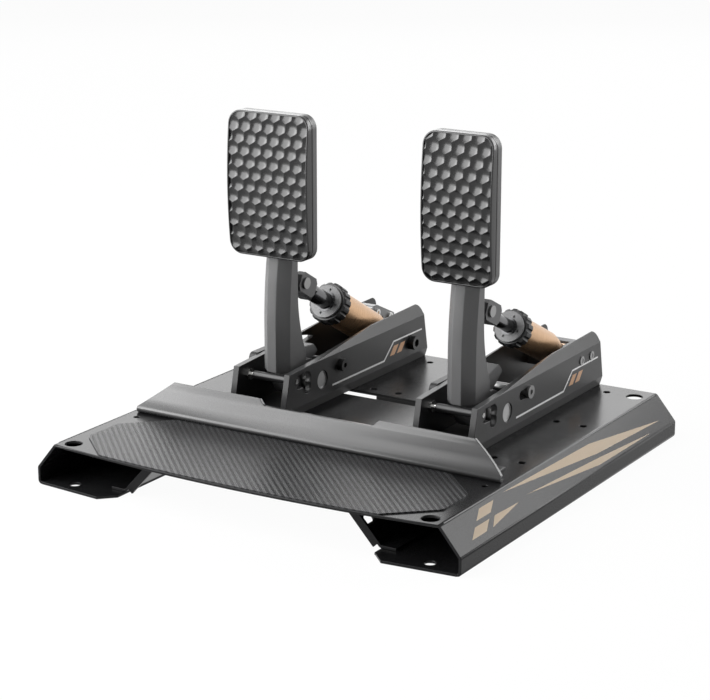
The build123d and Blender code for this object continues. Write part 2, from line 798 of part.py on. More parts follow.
def clevis(pedal):
    """Fork whose two cheeks take the clevis pin."""
    side = Rectangle(fork_front + fork_back, 2 * fork_half_height)
    outline = chamfer(side.vertices(), fork_chamfer)
    middle = Pos(0, (fork_back - fork_front) / 2) * Rot(0, 0, 90)
    body = along_x(middle * outline, -fork_width / 2, fork_width / 2)
    slot = Pos(0, 0, (fork_slot_depth - fork_front - overrun) / 2)
    body -= slot * Box(fork_slot, 2 * (fork_half_height + overrun), fork_slot_depth + fork_front + overrun)
    body -= pin_x(0, 0, clevis_pin_radius + pedal.play, -fork_width, fork_width)
    body -= turned((0, 0), (stud_radius + fit_gap, 0), (stud_radius + fit_gap, fork_back + overrun),
                   (0, fork_back + overrun))
    return pedal.frame() * body


def lock_nut(pedal):
    """Hexagon nut between the fork and the rod's shoulder."""
    nut = along_z(hexagon(pedal.nut_width), fork_back, fork_back + nut_length)
    nut -= pin_z_axis(0, 0, stud_radius + fit_gap, fork_back - overrun, fork_back + nut_length + overrun)
    return pedal.frame() * nut


def rod(pedal):
    """Rod with a threaded stud at the fork and a piston inside the barrel."""
    shoulder = fork_back + nut_length
    piston_start = pedal.cap_station + ring_thread + ring_length
    piston_end = piston_start + piston_length
    bore = pedal.barrel_radius - wall_of_barrel
    body = turned((0, fork_slot_depth), (stud_radius, fork_slot_depth), (stud_radius, shoulder),
                  (pedal.rod_radius, shoulder), (pedal.rod_radius, piston_start),
                  (bore - turn_gap, piston_start), (bore - turn_gap, piston_end), (0, piston_end))
    return pedal.frame() * body


def clevis_pin(pedal):
    """Headed pin through the fork and the arm's tongue."""
    half = fork_width / 2 + part_gap
    pin = pin_x(pin_y, pin_z, clevis_pin_radius, pedal.x - half, pedal.x + half)
    for start in (pedal.x - half - clevis_head_height, pedal.x + half):
        pin += pin_x(pin_y, pin_z, clevis_head_radius, start, start + clevis_head_height)
    return pin


def end_cap(pedal):
    """Cap screwed into the barrel's mouth, with four holes for a pin spanner."""
    face = pedal.cap_station
    bore = pedal.barrel_radius - wall_of_barrel
    inside = pedal.rod_radius + turn_gap
    seat = face + cap_lip
    cap = turned((inside, face + wiper_lip), (pedal.wiper_radius + fit_gap, face + wiper_lip),
                 (pedal.wiper_radius + fit_gap, face), (pedal.cap_radius, face), (pedal.cap_radius, seat),
                 (bore - fit_gap, seat), (bore - fit_gap, face + ring_thread), (inside, face + ring_thread))
    for index in range(4):
        hole = PolarLocations(pedal.hole_circle, 1, start_angle=pedal.hole_start_deg + index * 90)
        cap -= [place * Pos(0, 0, face) * Cylinder(pin_hole_radius, 2 * pin_hole_depth) for place in hole]
    return pedal.frame() * cap


def wiper_ring(pedal):
    """Ring seal that wipes the rod."""
    face = pedal.cap_station
    ring = turned((pedal.rod_radius + turn_gap, face - wiper_lip), (pedal.wiper_radius, face - wiper_lip / 2),
                  (pedal.wiper_radius, face + wiper_lip), (pedal.rod_radius + turn_gap, face + wiper_lip))
    return pedal.frame() * ring


def preload_ring(pedal):
    """Knurled ring that turns on the barrel's thread."""
    start = pedal.cap_station + ring_start
    end = start + ring_length
    outer = pedal.ring_radius
    inner = pedal.barrel_radius - groove_depth + part_gap
    edge = outer - inner
    front, rear = edge * ring_chamfer_share, edge * ring_rear_share
    ring = turned((inner, start), (outer - front, start), (outer, start + front), (outer, end - rear),
                  (outer - rear, end), (inner, end))
    middle = Pos(outer + edge * knurl_inset_share, 0, (start + end) / 2)
    notch = middle * Cylinder(edge / 2, ring_length + overrun)
    notches = [Rot(0, 0, 360 / pedal.lobes * index) * notch for index in range(pedal.lobes)]
    return pedal.frame() * (ring - notches)


def barrel(pedal):
    """Bored barrel with a threaded mouth, a groove, a tapered tail and the rear eye."""
    mouth = pedal.cap_station + cap_lip
    shoulder = pedal.cap_station + ring_start + ring_length + part_gap
    thread = pedal.barrel_radius - groove_depth
    groove = pedal.groove_station
    tail = groove + groove_length + tail_length
    small = eye_width / 2
    bore = pedal.barrel_radius - wall_of_barrel
    bore_end = groove - groove_length - wall_of_barrel
    body = turned((bore, mouth), (thread, mouth), (thread, shoulder), (pedal.barrel_radius, shoulder),
                  (pedal.barrel_radius, groove), (thread - groove_step, groove),
                  (thread - groove_step, groove + groove_length), (thread, groove + groove_length),
                  (thread, tail), (small, tail + tail_cone), (0, tail + tail_cone), (0, bore_end),
                  (bore, bore_end))
    end = pedal.length()
    body += pin_x(0, -end, eye_radius, -small, small).rotate(Axis.X, 180)
    neck = (tail + end) / 2
    body += Pos(0, 0, neck) * Box(2 * small, 2 * small, end - tail)
    body -= pin_x(0, end, rear_pin_radius + turn_gap, -small - overrun, small + overrun)
    return pedal.frame() * body


# Rear of the brake: load cell, a tall plate on the left of the damper's eye and an ear on its right
cell_front_y = 338.0
cell_rear_y = 376.5
cell_base_z = 43.0
cell_top_z = 86.2
cell_shoulder_y = 346.0
cell_rear_z = 72.4
cell_round = 2.0
bridge_start_y = 358.0
bridge_end_y = 371.0
ear_radius = 11.0
cell_screw_y = 368.0
cell_screw_z = 70.8
cell_screw_high_y = 345.6
cell_screw_high_z = 79.0
cell_drill_y = 355.5
cell_drill_z = 72.6
cell_drill_radius = 1.3
cell_screw_radius = 2.0
cell_screw_head = 3.5
cell_head_height = 2.0
cell_screw_length = 10.0
cell_screw_socket = 3.0
bolt_head_radius = 6.5
bolt_head_height = 6.0
bolt_socket = 6.5

# Rear of the throttle: a block with two cheeks round the damper's eye
block_front_y = 331.0
block_rear_y = 362.0
block_height = 18.0
block_web = 6.0
block_screw_front_y = 334.0
block_screw_rear_y = 353.0
block_screw_radius = 2.0
block_screw_head = 3.75
block_screw_head_height = 0.8
block_screw_socket = 3.75
block_screw_length = 11.0
half_fill = half_gap - part_gap


def brake_load_cell():
    """Tall plate beside the damper's eye, joined behind the eye to an ear on its other side."""
    near = eye_width / 2 + part_gap
    plate = rounded(cell_round, (cell_front_y, cell_base_z), (cell_rear_y, cell_base_z),
                    (cell_rear_y, cell_rear_z), (cell_shoulder_y, cell_top_z), (cell_front_y, cell_top_z))
    low, high = brake.rear_z - ear_radius, brake.rear_z + ear_radius
    ear = Pos(brake.rear_y, brake.rear_z) * Circle(ear_radius)
    ear += polygon((brake.rear_y, low), (bridge_end_y, low), (bridge_end_y, high), (brake.rear_y, high))
    bridge = polygon((bridge_start_y, low), (bridge_end_y, low), (bridge_end_y, high), (bridge_start_y, high))
    body = along_x(plate, -half_fill, -near) + along_x(bridge, -near, near) + along_x(ear, near, half_fill)
    body -= pin_x(brake.rear_y, brake.rear_z, rear_pin_radius + fit_gap, -half_gap, half_gap)
    body -= pin_x(cell_drill_y, cell_drill_z, cell_drill_radius, -half_gap, -near + overrun)
    for y, z in ((cell_screw_y, cell_screw_z), (cell_screw_high_y, cell_screw_high_z)):
        body -= pin_x(y, z, cell_screw_radius + fit_gap, -near - cell_screw_length, -near + overrun)
    return Pos(brake.x, 0, 0) * body


def brake_load_cell_screws():
    """Two screws in the right face of the load cell's plate."""
    screw = cap_screw(cell_screw_radius, cell_screw_length, cell_screw_head, cell_head_height,
                      cell_screw_socket)
    face = brake.x - eye_width / 2 - part_gap
    places = ((cell_screw_y, cell_screw_z), (cell_screw_high_y, cell_screw_high_z))
    return [Pos(face, y, z) * Rot(0, 90, 0) * screw for y, z in places]


def bolt_across(x, y, z, radius, head, height, socket):
    """Headed bolt from the outside of the right wall to the outside of the left wall."""
    screw = cap_screw(radius, 2 * wall_outer, head, height, socket)
    return Pos(x + wall_outer, y, z) * Rot(0, 90, 0) * screw


def throttle_rear_block():
    """Block between the walls, slotted for the damper's eye."""
    low = throttle.rear_z - block_height / 2
    high = throttle.rear_z + block_height / 2
    run_y = (pin_y - throttle.rear_y) / throttle.length()
    run_z = (pin_z - throttle.rear_z) / throttle.length()
    back, reach = -block_height, 2 * block_height
    corner = polygon(*[(throttle.rear_y + run_y * ear_radius + run_z * a - run_y * b,
                        throttle.rear_z + run_z * ear_radius - run_y * a - run_z * b)
                       for a, b in ((back, 0), (reach, 0), (reach, -reach), (back, -reach))])
    outline = polygon((block_front_y, low), (block_rear_y, low), (block_rear_y, high), (block_front_y, high))
    outline -= corner
    body = along_x(outline, -half_fill, half_fill)
    slot_end = throttle.rear_y + eye_radius + part_gap
    slot = Pos((block_front_y - overrun + slot_end) / 2, throttle.rear_z)
    slot *= Rectangle(slot_end - block_front_y + overrun, 2 * block_height)
    body -= along_x(slot, -eye_width / 2 - part_gap, eye_width / 2 + part_gap)
    body -= pin_x(throttle.rear_y, throttle.rear_z, rear_pin_radius + fit_gap, -half_gap, half_gap)
    for y in (block_screw_front_y, block_screw_rear_y):
        for side in (-1, 1):
            ends = sorted((side * (wall_outer - block_screw_length), side * half_gap))
            body -= pin_x(y, throttle.rear_z, block_screw_radius + fit_gap, *ends)
    return Pos(throttle.x, 0, 0) * body


def throttle_rear_screws():
    """Four low screws through the walls into the rear block."""
    screw = cap_screw(block_screw_radius, block_screw_length, block_screw_head, block_screw_head_height,
                      block_screw_socket)
    places = [(side, y) for y in (block_screw_front_y, block_screw_rear_y) for side in (-1, 1)]
    return [Pos(throttle.x + side * wall_outer, y, throttle.rear_z) * Rot(0, side * 90, 0) * screw
            for side, y in places]


def stop_rod(pedal):
    """Rod that carries the stop sleeve, from outside the left wall into the right wall's window."""
    start = wall_outer + stop_nut_height + stop_rod_tail
    end = half_gap + guide_thickness + stop_rod_end
    return pin_x(stop_y, stop_z, stop_radius, pedal.x - start, pedal.x + end)


def stop_guide(pedal):
    """Disc that centres the stop rod in the right wall's window."""
    disc = pin_x(stop_y, stop_z, guide_radius, pedal.x + half_gap, pedal.x + half_gap + guide_thickness)
    return disc - pin_x(stop_y, stop_z, stop_radius + fit_gap, pedal.x, pedal.x + wall_outer)


def stop_sleeve(pedal):
    """Sleeve under the arm's toe, up to the right wall."""
    sleeve = pin_x(stop_y, stop_z, sleeve_radius, pedal.x - sleeve_start, pedal.x + half_fill)
    return sleeve - pin_x(stop_y, stop_z, stop_radius + fit_gap, pedal.x - wall_outer, pedal.x + wall_outer)


def stop_nuts(pedal):
    """Nuts on the stop rod, inside and outside the left wall."""
    nut = hexagon(stop_nut_width) - Circle(stop_radius + fit_gap)
    place = Pos(stop_y, stop_z)
    ends = (pedal.x - wall_outer - stop_nut_height, pedal.x - half_gap)
    return [along_x(place * nut, start, start + stop_nut_height) for start in ends]


def throttle_stop_slot():
    """Obround window that the throttle's end stop is set in."""
    middle = Pos(throttle.end_y - end_slot_shift, throttle.end_z)
    return middle * SlotOverall(end_slot_length, 2 * (end_radius + fit_gap))


def walls(pedal):
    """Left and right wall of one bracket, with the holes that its pieces need."""
    right, left = bracket_wall(), mirrored(bracket_wall())
    right -= along_x(rod_window(), half_gap - overrun, wall_outer + overrun)
    left -= along_x(tip_window(), -wall_outer - overrun, -half_gap + overrun)
    left -= pin_x(stop_y, stop_z, stop_radius + fit_gap, -wall_outer - overrun, -half_gap + overrun)
    holes = [Pos(pivot_y, pivot_z) * Circle(shaft_radius + fit_gap)]
    if pedal is brake:
        holes.append(Pos(pedal.rear_y, pedal.rear_z) * Circle(rear_pin_radius + fit_gap))
        holes.append(Pos(pedal.end_y, pedal.end_z) * Circle(end_radius + fit_gap))
    else:
        holes.append(throttle_stop_slot())
        for y in (block_screw_front_y, block_screw_rear_y):
            holes.append(Pos(y, pedal.rear_z) * Circle(block_screw_radius + fit_gap))
    seat = wall_outer - cap_sink - cap_height
    right -= pin_x(pivot_y, pivot_z, cap_radius + fit_gap, seat, wall_outer + overrun)
    for hole in holes:
        right -= along_x(hole, half_gap - overrun, wall_outer + overrun)
        left -= along_x(hole, -wall_outer - overrun, -half_gap + overrun)
    return Pos(pedal.x, 0, 0) * left, Pos(pedal.x, 0, 0) * right


def bracket_floor(pedal):
    """Plate between the two walls."""
    plate = along_z(Pos(pedal.x, (floor_front_y + floor_rear_y) / 2)
                    * Rectangle(wall_gap, floor_rear_y - floor_front_y), base_height, floor_z)
    return plate - screw_holes(pedal.x, screw_radius + fit_gap)


def save_pedal(pedal):
    """Write the pieces of one pedal."""
    name = pedal.name
    left, right = walls(pedal)
    save(f"{name}_left_wall", left)
    save(f"{name}_right_wall", right)
    save(f"{name}_bracket_floor", bracket_floor(pedal))
    save(f"{name}_pivot_shaft", pivot_shaft(pedal.x))
    save(f"{name}_sensor_housing", sensor_housing(pedal.x))
    save(f"{name}_stop_rod", stop_rod(pedal))
    save(f"{name}_stop_sleeve", stop_sleeve(pedal))
    save(f"{name}_stop_nuts", *stop_nuts(pedal))
    save(f"{name}_arm", arm(pedal))
    save(f"{name}_hub_bushes", *hub_bushes(pedal))
    save(f"{name}_pad_tread", pad_tread(pedal))
    save(f"{name}_pad_backing", pad_backing(pedal))
    save(f"{name}_pad_screws", *pad_screws(pedal))
    save(f"{name}_clevis_pin", clevis_pin(pedal))
    save(f"{name}_clevis", clevis(pedal))
    save(f"{name}_lock_nut", lock_nut(pedal))
    save(f"{name}_rod", rod(pedal))
    save(f"{name}_barrel", barrel(pedal))
    save(f"{name}_end_cap", end_cap(pedal))
    save(f"{name}_wiper_ring", wiper_ring(pedal))
    save(f"{name}_preload_ring", preload_ring(pedal))


os.makedirs("parts", exist_ok=True)
save("base_plate", base_plate())
save("left_foot_brace", mirrored(foot_brace()))
save("right_foot_brace", foot_brace())
save("foot_mat", foot_mat())
save("heel_rest", heel_rest())
save("heel_rest_screws", *heel_screws())
save("control_box", control_box())
save("bracket_screws", *bracket_screws())
save("pivot_caps", pivot_cap(brake_x), pivot_cap(throttle_x))
save("stop_guides", stop_guide(brake), stop_guide(throttle))
save_pedal(brake)
save_pedal(throttle)
save("brake_end_stop_bolt", bolt_across(brake.x, brake.end_y, brake.end_z, end_radius,
                                        end_head_radius, end_head_height, end_socket))
save("throttle_end_stop_bolt", bolt_across(throttle.x, throttle.end_y, throttle.end_z, end_radius,
                                           end_head_radius, end_low_head_height, end_socket))
save("brake_load_cell", brake_load_cell())
save("brake_load_cell_screws", *brake_load_cell_screws())
save("brake_rear_bolt", bolt_across(brake.x, brake.rear_y, brake.rear_z, rear_pin_radius,
                                    bolt_head_radius, bolt_head_height, bolt_socket))
save("throttle_rear_block", throttle_rear_block())
save("throttle_rear_screws", *throttle_rear_screws())
save("throttle_rear_pin", pin_x(throttle.rear_y, throttle.rear_z, rear_pin_radius,
                                throttle.x - half_fill, throttle.x + half_fill))
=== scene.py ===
"""The looks of a sim racing pedal set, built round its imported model."""

import logging
import math
from dataclasses import dataclass
from enum import Enum
from typing import Any, Sequence

import bmesh
import bpy
from mathutils import Matrix, Vector


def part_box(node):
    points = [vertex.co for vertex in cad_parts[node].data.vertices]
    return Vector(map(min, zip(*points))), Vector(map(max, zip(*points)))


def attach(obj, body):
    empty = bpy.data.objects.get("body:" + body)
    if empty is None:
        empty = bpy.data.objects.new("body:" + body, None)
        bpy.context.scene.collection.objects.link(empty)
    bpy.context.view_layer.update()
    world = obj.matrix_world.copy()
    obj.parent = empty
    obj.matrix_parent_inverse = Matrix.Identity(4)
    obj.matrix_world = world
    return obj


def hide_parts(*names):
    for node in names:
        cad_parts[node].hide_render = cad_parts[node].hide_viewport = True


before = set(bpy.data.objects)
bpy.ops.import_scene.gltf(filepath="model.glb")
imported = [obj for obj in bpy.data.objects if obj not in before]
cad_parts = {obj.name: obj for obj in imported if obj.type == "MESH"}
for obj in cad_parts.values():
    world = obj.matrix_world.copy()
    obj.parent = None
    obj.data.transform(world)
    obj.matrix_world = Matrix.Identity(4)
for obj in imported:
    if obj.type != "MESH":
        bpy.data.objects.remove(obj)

LOG = logging.getLogger("pedal_set")
MM = 0.001
MIDDLE_Y = 183.55
WHITE = (1.0, 1.0, 1.0, 1.0)
FINE_SPAN = (0.3, 0.7)
SLOW_SPAN = (0.35, 0.65)


def point(x: float, y: float, z: float) -> Vector:
    """A point in metres from millimetres laid out from the middle of the base's front corners."""
    return Vector((x, y - MIDDLE_Y, z)) * MM


class Pattern(Enum):
    """The surface patterns that a finish can carry."""

    GRAIN = "grain"
    CAST = "cast"
    BRUSHED = "brushed"
    TURNED = "turned"
    TWILL = "twill"
    MOULDED = "moulded"


class Body(Enum):
    """The moving groups that pieces ride on."""

    BASE = "base"
    BRAKE_PEDAL = "brake_pedal"
    THROTTLE_PEDAL = "throttle_pedal"


class Graph:
    """A shader node tree that is filled one node at a time."""

    def __init__(self, tree: bpy.types.NodeTree) -> None:
        """Wrap a tree.

        Args:
            tree: The material's or group's node tree.
        """
        self.tree = tree

    def add(self, kind: str, inputs: dict[Any, Any] | None = None, **settings: Any) -> bpy.types.Node:
        """Add a node, set its properties and fill or link its inputs.

        Args:
            kind: The node's type, without the leading "ShaderNode".
            inputs: Values or output sockets by input name or number.
            **settings: Properties of the node.

        Returns:
            The new node.
        """
        node = self.tree.nodes.new(kind if kind.startswith("Node") else "ShaderNode" + kind)
        for name, value in settings.items():
            setattr(node, name, value)
        for key, value in (inputs or {}).items():
            if isinstance(value, bpy.types.NodeSocket):
                self.tree.links.new(value, node.inputs[key])
            else:
                node.inputs[key].default_value = value
        return node

    def maths(self, operation: str, *values: Any) -> bpy.types.NodeSocket:
        """Add a Math node.

        Args:
            operation: The operation's name.
            *values: Numbers or sockets.

        Returns:
            The result's socket.
        """
        return self.add("Math", dict(enumerate(values)), operation=operation).outputs[0]

    def blend(self, one: Any, other: Any, share: float) -> bpy.types.NodeSocket:
        """Add two values in proportion.

        Args:
            one: The first value's socket.
            other: The second value's socket.
            share: How much of the first there is. The second has the rest.

        Returns:
            The sum's socket.
        """
        parts = self.maths("MULTIPLY", one, share), self.maths("MULTIPLY", other, 1.0 - share)
        return self.maths("ADD", *parts)

    def noise(self, where: Any, scale: Any, detail: float, **inputs: float) -> bpy.types.NodeSocket:
        """Add a noise texture.

        Args:
            where: The coordinates' socket.
            scale: Its scale, a number or a socket.
            detail: Its octaves.
            **inputs: Other inputs by name.

        Returns:
            The noise's socket.
        """
        filled = {"Vector": where, "Scale": scale, "Detail": detail, **inputs}
        return self.add("TexNoise", filled).outputs[0]

    def ranged(
        self, value: Any, low: Any, high: Any, start: Any = 0.0, end: Any = 1.0
    ) -> bpy.types.NodeSocket:
        """Map a value from one range to another.

        Args:
            value: The socket that is mapped.
            low: Where the incoming range starts.
            high: Where it ends.
            start: Where the outgoing range starts.
            end: Where it ends.

        Returns:
            The mapped value's socket.
        """
        return self.add("MapRange", {0: value, 1: low, 2: high, 3: start, 4: end}).outputs[0]

    def put_out(self, tone: Any, gloss: Any, height: Any) -> bpy.types.NodeTree:
        """Close a group with the three values that every finish takes.

        Args:
            tone: Where between the two tones the surface is.
            gloss: Where between smooth and rough it is.
            height: Its relief.

        Returns:
            The tree.
        """
        self.add("NodeGroupOutput", {"Tone": tone, "Gloss": gloss, "Height": height})
        return self.tree


class Effects:
    """The shader node groups that the finishes share. Each puts out a tone, a gloss and a height."""

    def __init__(self) -> None:
        """Build every group once."""
        self.groups = {
            Pattern.GRAIN: self.grain("powder_grain", 2.0, 0.55, 3.0),
            Pattern.CAST: self.grain("cast_grain", 5.0, 0.7, 5.0),
            Pattern.MOULDED: self.grain("moulded_grain", 1.0, 0.4, 2.0),
            Pattern.BRUSHED: self.brushed(),
            Pattern.TURNED: self.turned(),
            Pattern.TWILL: self.twill(),
        }

    def start(self, name: str, inputs: dict[str, float]) -> tuple[Graph, Any, Any]:
        """Make an empty group with the usual outputs.

        Args:
            name: The group's name.
            inputs: Its float inputs and their usual values.

        Returns:
            Its graph, the sockets that it is given and the object coordinates.
        """
        tree = bpy.data.node_groups.new(name, "ShaderNodeTree")
        for title, value in inputs.items():
            socket = tree.interface.new_socket(title, in_out="INPUT", socket_type="NodeSocketFloat")
            socket.default_value = value
        for title in ("Tone", "Gloss", "Height"):
            tree.interface.new_socket(title, in_out="OUTPUT", socket_type="NodeSocketFloat")
        graph = Graph(tree)
        return graph, graph.add("NodeGroupInput").outputs, graph.add("TexCoord").outputs["Object"]

    def grain(self, name: str, detail: float, roughness: float, cloud_detail: float) -> bpy.types.NodeTree:
        """A fine even grain over slow clouds of tone.

        Args:
            name: The group's name.
            detail: Octaves of the fine grain.
            roughness: How strong the grain's finer octaves are.
            cloud_detail: Octaves of the clouds.

        Returns:
            The group.
        """
        cloud_share, pit_share = 0.6, 0.5
        graph, given, where = self.start(name, {"Scale": 2200.0, "Clouds": 9.0})
        fine = graph.noise(where, given["Scale"], detail, Roughness=roughness)
        slow = graph.noise(where, given["Clouds"], cloud_detail, Roughness=0.5)
        pit = graph.ranged(fine, *FINE_SPAN)
        cloud = graph.ranged(slow, *SLOW_SPAN)
        tone, gloss = graph.blend(cloud, pit, cloud_share), graph.blend(pit, cloud, pit_share)
        return graph.put_out(tone, gloss, fine)

    def brushed(self) -> bpy.types.NodeTree:
        """Long thin scratches along Z.

        Returns:
            The group.
        """
        line_share, squeeze = 0.5, (1.0, 1.0, 0.02)
        graph, given, where = self.start("brushed_lines", {"Scale": 2600.0, "Clouds": 12.0})
        drawn = graph.add("VectorMath", {0: where, 1: squeeze}, operation="MULTIPLY").outputs[0]
        fine = graph.noise(drawn, given["Scale"], 2.0, Roughness=0.6)
        slow = graph.noise(where, given["Clouds"], 2.0)
        line = graph.ranged(fine, *FINE_SPAN)
        return graph.put_out(graph.blend(line, slow, line_share), line, fine)

    def turned(self) -> bpy.types.NodeTree:
        """Fine rings round a tilted axis in the YZ plane, as a lathe leaves them.

        Returns:
            The group.
        """
        line_share = 0.35
        usual = {"Scale": 3200.0, "Clouds": 14.0, "Along Y": 0.87, "Along Z": -0.49}
        graph, given, where = self.start("turned_lines", usual)
        axis = graph.add("CombineXYZ", {0: 0.0, 1: given["Along Y"], 2: given["Along Z"]}).outputs[0]
        along = graph.add("VectorMath", {0: where, 1: axis}, operation="DOT_PRODUCT").outputs["Value"]
        turns = graph.maths("MULTIPLY", along, given["Scale"])
        rings = graph.add("TexNoise", {"W": turns, "Scale": 1.0, "Detail": 2.0}, noise_dimensions="1D")
        slow = graph.noise(where, given["Clouds"], 3.0)
        line = graph.ranged(rings.outputs[0], *FINE_SPAN)
        return graph.put_out(graph.blend(line, slow, line_share), line, rings.outputs[0])

    def thread(self, graph: Graph, along: Any) -> bpy.types.NodeSocket:
        """The rounded height of one set of threads.

        Args:
            graph: The group's graph.
            along: The distance across the threads, counted in threads.

        Returns:
            The height's socket.
        """
        return graph.maths("SINE", graph.maths("MULTIPLY", graph.maths("FRACT", along), math.pi))

    def twill(self) -> bpy.types.NodeTree:
        """Two-over-two twill whose ribs run at 45 degrees across X and Y, with painted sheen and painted
        shade.

        Returns:
            The group.
        """
        repeat, over_count, fibres, rounding = 4.0, 1.5, 6.0, 0.5
        over_sheen_share, fibre_share, slow_share = 0.6, 0.3, 0.1
        graph, given, where = self.start("twill_weave", {"Scale": 640.0, "Clouds": 10.0})
        parts = graph.add("SeparateXYZ", {0: where}).outputs
        u = graph.maths("MULTIPLY", parts[0], given["Scale"])
        v = graph.maths("MULTIPLY", parts[1], given["Scale"])
        cells = graph.maths("ADD", graph.maths("FLOOR", u), graph.maths("FLOOR", v))
        over = graph.maths("LESS_THAN", graph.maths("FLOORED_MODULO", cells, repeat), over_count)
        warp = graph.maths("MULTIPLY", over, self.thread(graph, u))
        weft = graph.maths("MULTIPLY", graph.maths("SUBTRACT", 1.0, over), self.thread(graph, v))
        height = graph.maths("POWER", graph.maths("ADD", warp, weft), rounding)
        slow = graph.noise(where, given["Clouds"], 2.0)
        fibre = graph.noise(where, graph.maths("MULTIPLY", given["Scale"], fibres), 1.0)
        # Threads that lie over are painted lighter than those under them: a painted sheen in place of the
        # weave's reflection.
        shade = graph.maths(
            "ADD", graph.maths("MULTIPLY", over, over_sheen_share), graph.maths("MULTIPLY", fibre, fibre_share)
        )
        # Multiplying by the height paints the grooves between threads darker, as painted shade.
        tone = graph.maths(
            "ADD", graph.maths("MULTIPLY", shade, height), graph.maths("MULTIPLY", slow, slow_share)
        )
        return graph.put_out(tone, graph.maths("SUBTRACT", 1.0, height), height)


@dataclass(frozen=True)
class Finish:
    """One surface finish: two tones, a range of gloss and a pattern that moves between them.

    The pattern's depth is in millimetres.
    """

    name: str
    dark: tuple[float, float, float]
    light: tuple[float, float, float]
    smooth: float
    rough: float
    pattern: Pattern = Pattern.GRAIN
    metallic: float = 0.0
    specular: float = 0.5
    ior: float = 1.5
    scale: float = 2200.0
    clouds: float = 9.0
    depth: float = 0.02
    strength: float = 0.3

    def build(self, effects: Effects) -> bpy.types.Material:
        """Make the material.

        Args:
            effects: The shared node groups.

        Returns:
            The material.
        """
        material = bpy.data.materials.new(self.name)
        material.use_nodes = True
        graph = Graph(material.node_tree)
        shader = material.node_tree.nodes["Principled BSDF"]
        group = graph.add("Group", node_tree=effects.groups[self.pattern])
        group.inputs["Scale"].default_value = self.scale
        group.inputs["Clouds"].default_value = self.clouds
        tones = {"Factor": group.outputs["Tone"], 6: (*self.dark, 1.0), 7: (*self.light, 1.0)}
        colour = graph.add("Mix", tones, data_type="RGBA")
        gloss = graph.ranged(group.outputs["Gloss"], 0.0, 1.0, self.smooth, self.rough)
        relief = {"Height": group.outputs["Height"], "Distance": self.depth * MM, "Strength": self.strength}
        bump = graph.add("Bump", relief)
        links = material.node_tree.links
        links.new(colour.outputs[2], shader.inputs["Base Color"])
        links.new(gloss, shader.inputs["Roughness"])
        links.new(bump.outputs[0], shader.inputs["Normal"])
        shader.inputs["Metallic"].default_value = self.metallic
        shader.inputs["Specular IOR Level"].default_value = self.specular
        shader.inputs["IOR"].default_value = self.ior
        return material


FINISHES = (
    Finish("plate_coat", (0.006, 0.006, 0.0065), (0.010, 0.010, 0.0105), 0.22, 0.30, ior=1.25),
    Finish("wall_coat", (0.024, 0.024, 0.0245), (0.033, 0.033, 0.0335), 0.30, 0.38, ior=1.35),
    Finish("heel_coat", (0.024, 0.024, 0.0245), (0.032, 0.032, 0.0325), 0.24, 0.32, specular=0.46),
    Finish("arm_satin", (0.076, 0.076, 0.077), (0.090, 0.090, 0.091), 0.46, 0.54, specular=0.34),
    # twill_mat runs from its dark tone in the grooves, which is painted shade, to its light tone on the
    # over threads, which is painted sheen.
    Finish("twill_mat", (0.003, 0.003, 0.0035), (0.060, 0.060, 0.062), 0.22, 0.40, Pattern.TWILL,
           ior=1.32, scale=640.0, depth=0.30, strength=1.0),
    Finish("tread_rubber", (0.002, 0.002, 0.0022), (0.004, 0.004, 0.0042), 0.20, 0.28, Pattern.MOULDED,
           specular=0.54, scale=1400.0, strength=0.15),
    Finish("black_plastic", (0.010, 0.010, 0.0105), (0.016, 0.016, 0.0165), 0.38, 0.52, Pattern.MOULDED,
           specular=0.3, scale=1400.0),
    Finish("backing_coat", (0.040, 0.040, 0.041), (0.055, 0.055, 0.056), 0.34, 0.46, Pattern.MOULDED,
           scale=1400.0),
    # ring_black also colours the dark strip along the slope creases, which is painted shade.
    Finish("ring_black", (0.009, 0.009, 0.0095), (0.014, 0.014, 0.0145), 0.28, 0.38, specular=0.35),
    Finish("black_screw", (0.008, 0.008, 0.0085), (0.014, 0.014, 0.0145), 0.26, 0.38, specular=0.4),
    Finish("bright_steel", (0.50, 0.50, 0.49), (0.62, 0.62, 0.61), 0.16, 0.28, Pattern.BRUSHED,
           metallic=1.0),
    Finish("satin_steel", (0.20, 0.20, 0.20), (0.27, 0.27, 0.27), 0.28, 0.40, metallic=1.0),
    Finish("dark_steel", (0.050, 0.050, 0.052), (0.075, 0.075, 0.077), 0.20, 0.30, Pattern.BRUSHED,
           metallic=1.0),
    Finish("cap_steel", (0.34, 0.34, 0.34), (0.48, 0.48, 0.48), 0.30, 0.42, metallic=0.5),
    Finish("polished_rod", (0.12, 0.12, 0.125), (0.17, 0.17, 0.175), 0.08, 0.16, Pattern.TURNED,
           metallic=1.0),
    Finish("cast_cap", (0.090, 0.090, 0.091), (0.230, 0.230, 0.232), 0.46, 0.62, Pattern.CAST,
           metallic=0.3, scale=900.0, depth=0.08, strength=0.5),
    Finish("fork_grey", (0.045, 0.045, 0.047), (0.065, 0.065, 0.067), 0.36, 0.48, Pattern.CAST,
           metallic=0.2, scale=1300.0),
    Finish("cell_alloy", (0.13, 0.13, 0.13), (0.18, 0.18, 0.18), 0.30, 0.42, Pattern.BRUSHED, metallic=0.8),
    Finish("copper_barrel", (0.48, 0.300, 0.170), (0.58, 0.370, 0.215), 0.26, 0.34, Pattern.TURNED,
           metallic=0.85),
    Finish("tan_paint", (0.36, 0.270, 0.175), (0.45, 0.340, 0.222), 0.36, 0.48, specular=0.3),
    Finish("copper_paint", (0.42, 0.250, 0.150), (0.50, 0.300, 0.180), 0.36, 0.48, specular=0.3),
    Finish("grey_paint", (0.62, 0.62, 0.62), (0.70, 0.70, 0.70), 0.36, 0.48, specular=0.3),
)


